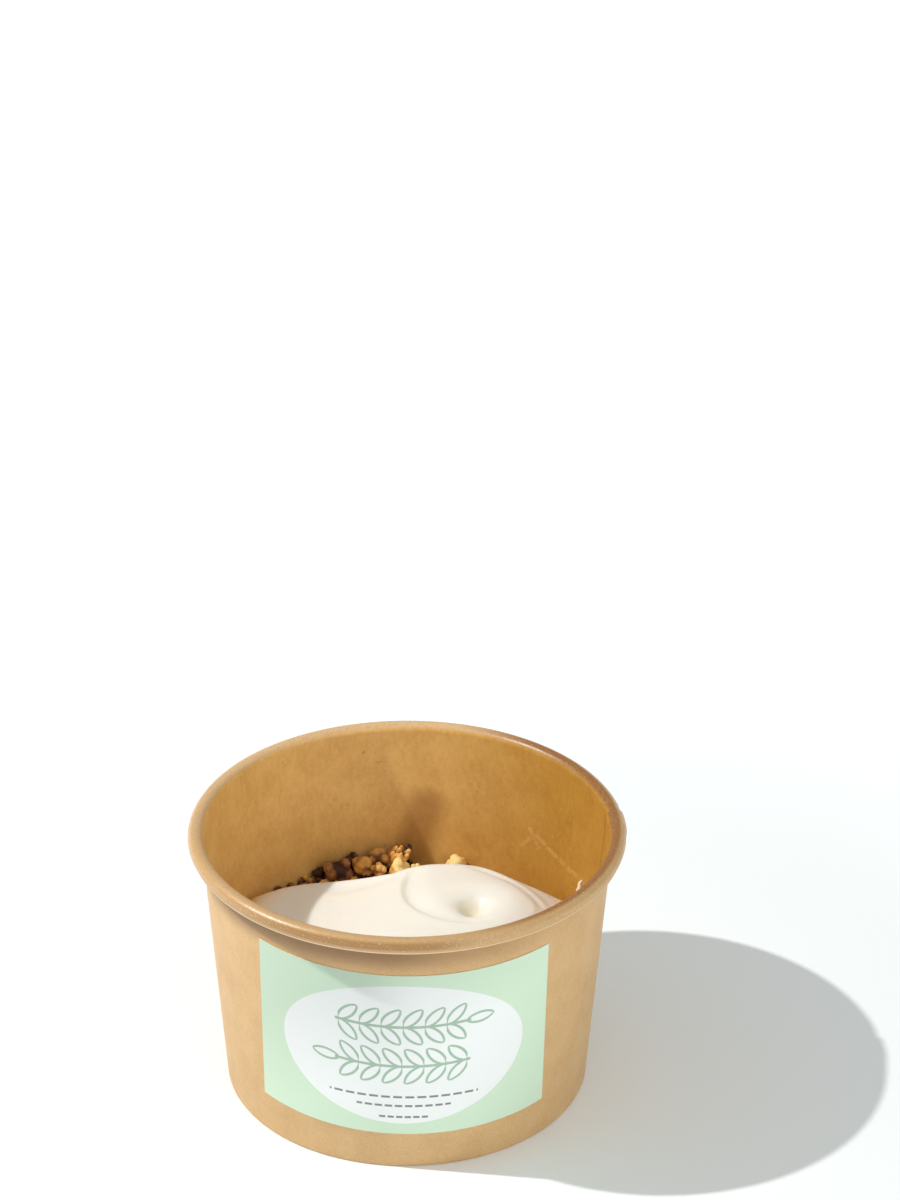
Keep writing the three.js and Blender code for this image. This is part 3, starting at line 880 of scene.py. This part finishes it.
def pourYogurt():
    under = poured["underside"]
    near = [0.45 * step for step in range(54)]  # fine rows round the crater
    far = [step / 22 for step in range(1, 23)]  # shares of the way out to the lip
    lip = [poured["lipWidth"] * (1 - step / 26) ** 1.7 for step in range(1, 27)]  # closer towards the edge
    rows = len(near) + len(far) + len(lip) + 2
    middle = Vector((crater["x"], crater["y"], 0)) * mm
    profile = [middle + Vector((step * 0.1, 0, 0)) * mm for step in range(rows)]
    pour = drawProfile("yogurt_pour", profile)
    turnProfile(pour, poured["columns"], 360, middle)
    inset = -poured["intoWall"]
    edges = []
    for column in range(poured["columns"] + 1):
        angle = math.radians(360 * (column % poured["columns"]) / poured["columns"])
        dx, dy = math.sin(angle), -math.cos(angle)
        free = freeReach(dx, dy)
        atBed = wallReach(dx, dy, under, inset)
        edges.append((dx, dy, free, atBed, smooth(atBed - free, 0, 4)))

    def surface(edge, fromEdge, fromCrater):
        dx, dy, freedom = edge[0], edge[1], edge[4]
        x = crater["x"] + dx * fromCrater
        y = crater["y"] + dy * fromCrater
        top = pouredHeight(x, y)
        lipShare = clamp(fromEdge / poured["lipWidth"])
        lipHeight = under + (top - under) * math.sqrt(1 - (1 - lipShare) ** 2)
        shelf = clamp(fromEdge / poured["wallBlend"])
        shelfHeight = top - (top - heightAtWall(x, y)) * (1 - shelf) ** 2
        return Vector((x, y, max(mix(shelfHeight, lipHeight, freedom), under + 0.6)))

    def place(column, row):
        edge = edges[column]
        dx, dy, free, atBed = edge[:4]
        if row == rows - 1:
            return Vector((crater["x"], crater["y"], under)) * mm
        if row == rows - 2:
            reach = min(free, atBed)
            return Vector((crater["x"] + dx * reach, crater["y"] + dy * reach, under)) * mm
        top = surface(edge, 0, min(free, atBed)).z
        reach = min(free, wallReach(dx, dy, top, inset))
        inner = reach - poured["lipWidth"]
        squeeze = min(1, inner / near[-1])
        if row < len(near):
            fromCrater = near[row] * squeeze
        elif row < len(near) + len(far):
            fromCrater = mix(near[-1] * squeeze, inner, far[row - len(near)])
        else:
            fromCrater = reach - lip[row - len(near) - len(far)]
        return surface(edge, reach - fromCrater, fromCrater) * mm

    placeCorners(pour, profile, place)
    sealSurface(pour)
    giveFinish(pour, creamFinish())
    smoothPiece(pour, 60)
    standIn(pour, "yogurt")


def smearFinish():
    finish = Finish("dried yogurt", specular_ior_level=0.4)
    tone = finish.blend(finish.noise(1.2, 2.0) * 0.5, poured["smear"], poured["smearDeep"])
    return finish.done(base_color=tone, roughness=0.5, normal=finish.bump(finish.noise(0.8, 2.0), 0.08))


def creamFinish():
    finish = Finish("thick yogurt", subsurface_weight=1.0, subsurface_scale=0.004,
                    subsurface_radius=(1.0, 0.86, 0.66), specular_ior_level=0.45)
    x, y, z = finish.axes()
    # painted shade: yellower and deeper in tone low down round the crater's hollow
    hollowShade = z.fade(45.0, 40.5) * ((x - crater["x"]) ** 2 + (y - crater["y"]) ** 2).fade(40, 14)
    tone = finish.blend(finish.noise(7, 2.0) * 0.25, poured["cream"], poured["creamDeep"])
    tone = finish.blend(hollowShade * 0.5, tone, poured["craterShade"])
    radius = (x ** 2 + y ** 2) ** 0.5
    # painted shade and reflected brown light near the wall, deepest at the left
    wallShadeShare = radius.fade(38, 51) * 0.3 + radius.fade(36, 50) * x.fade(-4, -30) * 0.7
    tone = finish.blend(wallShadeShare, tone, poured["wallShade"])
    gloss = 0.34 + finish.noise(3.0, 2.0) * 0.1
    relief = finish.bump(finish.noise(5.0, 3.0) + finish.noise(0.9, 2.0) * 0.12, 0.12)
    return finish.done(base_color=tone, roughness=gloss, normal=relief)


pourYogurt()
print("the yogurt is poured")


# The granola: a bed, with clusters, oat flakes, nuggets and crumbs where it shows at the back

heap = {
    "seed": 7,
    "top": 29.6,
    "bottom": 8.6,
    "gap": 0.1,
    "fromAzimuth": 112,
    "toAzimuth": 245,
    "deepest": 18,
    "clusterTries": 1500,
    "flakeTries": 420,
    "nuggetTries": 200,
    "crumbTries": 500,
    "apart": 3.4,  # between the middles of two clusters
    "bitLimit": 33.4,  # small bits stay off the clusters that show
    "crumbLimit": 34.4,
    "pale": paint(246, 216, 140),
    "golden": paint(222, 160, 72),
    "tan": paint(196, 146, 84),
    "brown": paint(136, 84, 42),
    "dark": paint(62, 30, 12),
}

# the clusters that show over the yogurt's edge: middle, radius, tone and form; lumps of tone 1 or more are
# painted shade, dark fillers in shaded gaps and behind the clusters
showing = [
    ((-19.0, 41.6, 34.8), 4.2, 0.8, "oats"),
    ((-24.2, 42.2, 33.8), 2.0, 1.05, "oats"),
    ((-15.2, 46.2, 36.0), 2.2, 1.0, "oats"),
    ((-12.0, 43.0, 35.9), 3.5, 0.36, "oats"),
    ((-7.8, 45.6, 36.4), 3.1, 0.46, "oats"),
    ((-8.0, 40.6, 35.3), 2.5, 0.22, "oats"),
    ((-2.6, 45.6, 37.0), 3.7, 0.27, "straws"),
    ((0.6, 47.9, 38.6), 1.3, 1.0, "oats"),
    ((-2.9, 40.4, 36.0), 3.7, -0.06, "oats"),
    ((2.6, 41.8, 35.0), 2.0, 0.1, "oats"),
    ((14.2, 44.9, 34.6), 2.7, -0.04, "nugget"),
    ((12.2, 45.6, 33.9), 2.0, 0.02, "oats"),
    ((-34.8, 33.6, 32.4), 2.2, 0.95, "oats"),
    ((-31.6, 37.0, 32.0), 1.9, 0.85, "oats"),
    ((-28.4, 39.6, 31.6), 2.2, 0.8, "oats"),
]


def toastedOats(name, gloss):
    finish = Finish(name, specular_ior_level=0.4, coat_roughness=0.35,
                    subsurface_weight=0.12, subsurface_scale=0.001, subsurface_radius=(1.0, 0.5, 0.2))
    tone = finish.add("ShaderNodeAttribute", {"attribute_name": "tone"}, {}, "Fac")
    spread = tone + (finish.noise(1.3, 3.0) - 0.5) * 0.42 + (finish.noise(0.35, 2.0) - 0.5) * 0.3
    stops = [(0.0, heap["pale"]), (0.25, heap["golden"]), (0.5, heap["tan"]), (0.78, heap["brown"]),
             (1.0, heap["dark"])]
    colour = finish.add("ShaderNodeValToRGB", {"stops": stops}, {0: spread})
    relief = finish.bump(finish.noise(0.4, 3.0) + finish.noise(1.2, 2.0), 0.12)
    return finish.done(base_color=colour, roughness=gloss + finish.noise(0.8) * 0.2, normal=relief)


def toneCorners(piece, shade):
    layer = piece.data.attributes.new("tone", "FLOAT", "POINT")
    layer.data.foreach_set("value", [shade(vertex) for vertex in piece.data.vertices])


def makeCluster(number, straws=False):  # baked oats stuck in one lump, about 1 unit in radius
    draw = random.Random(40 + number)
    lumps = []
    for part in range(9 if straws else 8):  # the first lump is the middle one
        away = Vector((draw.gauss(0, 1), draw.gauss(0, 1), draw.gauss(0, 1))).normalized()
        sides = (draw.uniform(0.85, 1.2), draw.uniform(0.85, 1.15), draw.uniform(0.75, 1.0))
        turn = (draw.uniform(0, 3), draw.uniform(0, 3), draw.uniform(0, 3))
        spot = away * (0.54 if part else 0)
        size = draw.uniform(0.38, 0.52) if part else 0.6
        if straws:  # puffed strands side by side
            angle = math.radians(40 * part)
            spot = Vector((math.cos(angle), math.sin(angle), draw.uniform(-0.2, 0.2))) * (0.55 if part else 0)
            sides = (0.5, 0.5, draw.uniform(1.7, 2.3))
            turn = (draw.uniform(-0.25, 0.25), draw.uniform(-0.25, 0.25), 0)
            size = draw.uniform(0.4, 0.5)
        ball = {"subdivisions": 3, "radius": size, "location": spot}
        lump = startPiece("lump", bpy.ops.mesh.primitive_ico_sphere_add, **ball)
        lump.scale = sides
        lump.rotation_euler = turn
        bpy.ops.object.transform_apply(location=True, rotation=True, scale=True)
        lumps.append(lump)
    cluster = joinPieces("cluster", lumps)
    applyModifier(cluster, "REMESH", mode="VOXEL", voxel_size=0.05)
    shift = Vector((number * 7.3, 0, 0))
    for vertex in cluster.data.vertices:
        spot = vertex.co
        rough = 0.09 * noise.noise(spot * 2.6 + shift) + 0.03 * noise.noise(spot * 6 + shift)
        vertex.co = spot * (1 + rough + 0.012 * noise.noise(spot * 14 + shift))
    applyModifier(cluster, "DECIMATE", ratio=min(1.0, 3400 / max(1, len(cluster.data.polygons) * 2)))
    # painted shade: the tone darkens towards the cluster's middle, in the dents between its oats
    toneCorners(cluster, lambda vertex: clamp((0.84 - vertex.co.length) * 1.3, -0.12, 0.55))
    return cluster


def makeFlake(number):  # a rolled oat: an oval flake, creased along its length
    draw = random.Random(70 + number)
    flake = startPiece("flake", bpy.ops.mesh.primitive_circle_add, vertices=12, radius=1, fill_type="NGON")
    openPiece(flake)
    bpy.ops.mesh.inset(thickness=0.3, depth=0.0)
    bpy.ops.mesh.inset(thickness=0.35, depth=0.0)
    bpy.ops.mesh.poke()
    closePiece()
    bend = draw.uniform(0.1, 0.3)
    for vertex in flake.data.vertices:
        x, y = vertex.co.x, vertex.co.y
        ragged = 1 + 0.1 * noise.noise(Vector((x * 2, y * 2, number * 3.1)))
        height = bend * (x * x - 0.5 * y * y) - 0.12 * bell(y, 0.22) + 0.12 * noise.noise(vertex.co * 2.3)
        vertex.co = Vector((x * ragged, y * 0.72 * ragged, height))
    applyModifier(flake, "SOLIDIFY", thickness=0.2, offset=0)
    toneCorners(flake, lambda vertex: -0.08 + 0.3 * bell(vertex.co.y, 0.12))
    return flake


def makeNugget(number, subdivisions=3):  # a puffed or chopped bit, rounded with a few dents
    nugget = startPiece("nugget", bpy.ops.mesh.primitive_ico_sphere_add, subdivisions=subdivisions, radius=1)
    shift = Vector((0, number * 5.7, 1.3))
    for vertex in nugget.data.vertices:
        spot = vertex.co
        rough = 0.42 * noise.noise(spot * 1.1 + shift) + 0.16 * noise.noise(spot * 2.6 + shift)
        vertex.co = Vector((spot.x * 1.15, spot.y * 0.95, spot.z * 0.85)) * (1 + rough)
    # painted shade: the tone darkens in the nugget's dents
    toneCorners(nugget, lambda vertex: clamp((0.9 - vertex.co.length) * 0.7, -0.1, 0.3))
    return nugget


def copyAt(master, spot, size, turn, tone):
    copied = master.copy()
    copied.data = master.data.copy()
    bpy.context.collection.objects.link(copied)
    turned = turn.to_matrix().to_4x4() @ Matrix.Scale(size * mm, 4)
    copied.data.transform(Matrix.Translation(spot * mm) @ turned)
    for point in copied.data.attributes["tone"].data:
        point.value += tone
    return copied


def outsideYogurt(x, y, clearance):
    for turn in range(0, 360, 45):
        angle = math.radians(turn)
        fromX = x + clearance * math.cos(angle) - crater["x"]
        fromY = y + clearance * math.sin(angle) - crater["y"]
        distance = math.hypot(fromX, fromY)
        if distance < freeReach(fromX / distance, fromY / distance):
            return False
    return True


def anyTurn(draw, flat=False):
    tip = 0.45 if flat else 3.0
    return Euler((draw.uniform(-tip, tip), draw.uniform(-tip, tip), draw.uniform(0, 6.28)))


def spotAt(azimuth, inset, z):
    return atAzimuth(wallInside(z) - inset, azimuth, z) / mm


def layBed():
    line = []
    for share in (0, 0.25, 0.5, 0.75, 1):
        line.append(((wallInside(heap["bottom"]) - 1.2) * share, heap["bottom"]))
    outer = lambda z: wallInside(z) - heap["gap"]
    for share in (0.1, 0.4, 0.7, 1):
        z = mix(heap["bottom"], heap["top"], share)
        line.append((outer(z), z))
    for step in range(1, 60):
        line.append((outer(heap["top"]) * (1 - step / 60), heap["top"]))
    line.append((0, heap["top"]))
    bed = drawProfile("granola_bed", [Vector((r, 0, z)) * mm for r, z in line])
    turnProfile(bed, 260, 360)
    sealSurface(bed)
    for vertex in bed.data.vertices:
        spot = vertex.co / mm
        if spot.z > heap["top"] - 0.1 and spot.y > 0:
            bumps = 1.3 * noise.noise(spot * 0.42) + 0.8 * noise.noise(spot * 0.95)
            bumps += 0.3 * noise.noise(spot * 2.2)
            free = smooth(spot.y, 5, 14)
            vertex.co.z += min(bumps * free, 0.6) * mm
    # painted shade, partly dark toasted bits: the bed is dark and darker below its top, so the gaps between
    # the clusters show dark
    toneCorners(bed, lambda vertex: 0.8 - 120 * (vertex.co.z - heap["top"] * mm))
    giveFinish(bed, toastedOats("toasted granola bed", 0.6))
    smoothPiece(bed, 50)
    standIn(bed, "granola")


def scatterGranola():
    draw = random.Random(heap["seed"])
    clusterForms = [makeCluster(number) for number in range(5)]
    strawForm = makeCluster(8, True)
    flakeForms = [makeFlake(number) for number in range(5)]
    nuggetForms = [makeNugget(number) for number in range(4)]
    crumbForms = [makeNugget(10 + number, 2) for number in range(3)]
    clusters, flakes, nuggets, crumbs = [], [], [], []
    taken = []
    for place, size, tone, form in showing:
        spot = Vector(place)
        master = {"straws": strawForm, "nugget": nuggetForms[0]}.get(form) or draw.choice(clusterForms)
        turn = anyTurn(draw, form == "straws")
        clusters.append(copyAt(master, spot, size * 1.03, turn, tone))
        taken.append((spot, size * 0.8))
        # painted shade, partly dark toasted bits: a darker cluster under each showing one fills the gaps
        # between them with dark
        shadeFiller = Vector((spot.x, spot.y, (spot.z + 28.5) / 2))
        clusters.append(copyAt(draw.choice(clusterForms), shadeFiller, size * 0.95, anyTurn(draw), 0.85))
    for _ in range(heap["clusterTries"]):
        size = draw.uniform(2.2, 3.3)
        azimuth = draw.uniform(heap["fromAzimuth"], heap["toAzimuth"])
        spot = spotAt(azimuth, size + heap["deepest"] * draw.random(), 30.2)
        isFree = all((spot.xy - other.xy).length > heap["apart"] for other, _ in taken)
        if isFree and outsideYogurt(spot.x, spot.y, size + 0.3):
            tone = draw.choice((0.1, 0.25, 0.35, 0.45, 0.6))
            clusters.append(copyAt(draw.choice(clusterForms), spot, size, anyTurn(draw), tone))
            taken.append((spot, size * 0.8))
    settled = list(taken)
    for _ in range(heap["flakeTries"]):
        size = draw.uniform(2.2, 3.1)
        azimuth = draw.uniform(heap["fromAzimuth"] - 4, heap["toAzimuth"] + 4)
        spot = spotAt(azimuth, size * 0.95 + 15 * draw.random(), 30.6)
        if outsideYogurt(spot.x, spot.y, size + 0.2):
            spot.z = topOf(spot, settled, 30.3) + 0.1
            if spot.z < heap["bitLimit"]:
                tone = draw.uniform(0.05, 0.6)
                flakes.append(copyAt(draw.choice(flakeForms), spot, size, anyTurn(draw, True), tone))
    for _ in range(heap["nuggetTries"]):
        size = draw.uniform(1.0, 1.9)
        azimuth = draw.uniform(heap["fromAzimuth"] - 4, heap["toAzimuth"] + 4)
        spot = spotAt(azimuth, size * 1.3 + 15 * draw.random(), 30.6)
        if outsideYogurt(spot.x, spot.y, size * 1.2 + 0.2):
            spot.z = topOf(spot, settled, 30.2) + 0.2
            if spot.z < heap["bitLimit"]:
                tone = draw.choice((0.0, 0.1, 0.25, 0.7))
                nuggets.append(copyAt(draw.choice(nuggetForms), spot, size, anyTurn(draw), tone))
    for _ in range(heap["crumbTries"]):
        size = draw.uniform(0.3, 0.7)
        azimuth = draw.uniform(heap["fromAzimuth"] - 6, heap["toAzimuth"] + 6)
        spot = spotAt(azimuth, size * 1.4 + 17 * draw.random(), 30.6)
        if outsideYogurt(spot.x, spot.y, size + 0.1):
            spot.z = topOf(spot, settled, 30.2) + size * 0.6
            if spot.z < heap["crumbLimit"]:
                form, turn = draw.choice(crumbForms), anyTurn(draw)
                crumbs.append(copyAt(form, spot, size, turn, draw.uniform(0.1, 0.8)))
    kinds = {"granola_clusters": (clusters, 0.5), "granola_flakes": (flakes, 0.6),
             "granola_nuggets": (nuggets, 0.45), "granola_crumbs": (crumbs, 0.6)}
    for name, (copies, gloss) in kinds.items():
        piece = joinPieces(name, copies)
        giveFinish(piece, toastedOats(name.replace("_", " "), gloss))
        smoothPiece(piece, 60)
        standIn(piece, "granola")
        print(name, len(copies), "copies")
    for master in clusterForms + [strawForm] + flakeForms + nuggetForms + crumbForms:
        bpy.data.objects.remove(master)


def topOf(spot, settled, lowest):  # the height of the heap under a spot
    height = lowest
    for other, reach in settled:
        away = math.hypot(spot.x - other.x, spot.y - other.y)
        if away < reach:
            height = max(height, other.z + math.sqrt(reach * reach - away * away))
    return height


layBed()
scatterGranola()
print("the granola is heaped")


# A small smear of yogurt on the wall at the right

dab = {
    "height": 42.7,
    "halfHeight": 2.5,
    "azimuth": 114.1,
    "halfTurn": 0.85,
    "intoWall": 0.05,
    "thickness": 0.4,
}


def smearYogurt():
    smear = startPiece("yogurt_smear", bpy.ops.mesh.primitive_ico_sphere_add, subdivisions=4, radius=1)
    for vertex in smear.data.vertices:
        across, up, out = vertex.co.x, vertex.co.z, vertex.co.y
        height = dab["height"] + dab["halfHeight"] * up
        narrowing = 1 - 0.35 * up  # towards its top, with a lean and a wave
        azimuth = dab["azimuth"] - up + across * dab["halfTurn"] * narrowing + 0.25 * math.sin(up * 5)
        radius = wallInside(height) + dab["intoWall"] - dab["thickness"] * max(0, -out)
        vertex.co = atAzimuth(radius, azimuth, height)
    giveFinish(smear, smearFinish())
    smoothPiece(smear, 60)
    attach(smear, "root")


smearYogurt()
print("the smear is on the wall")
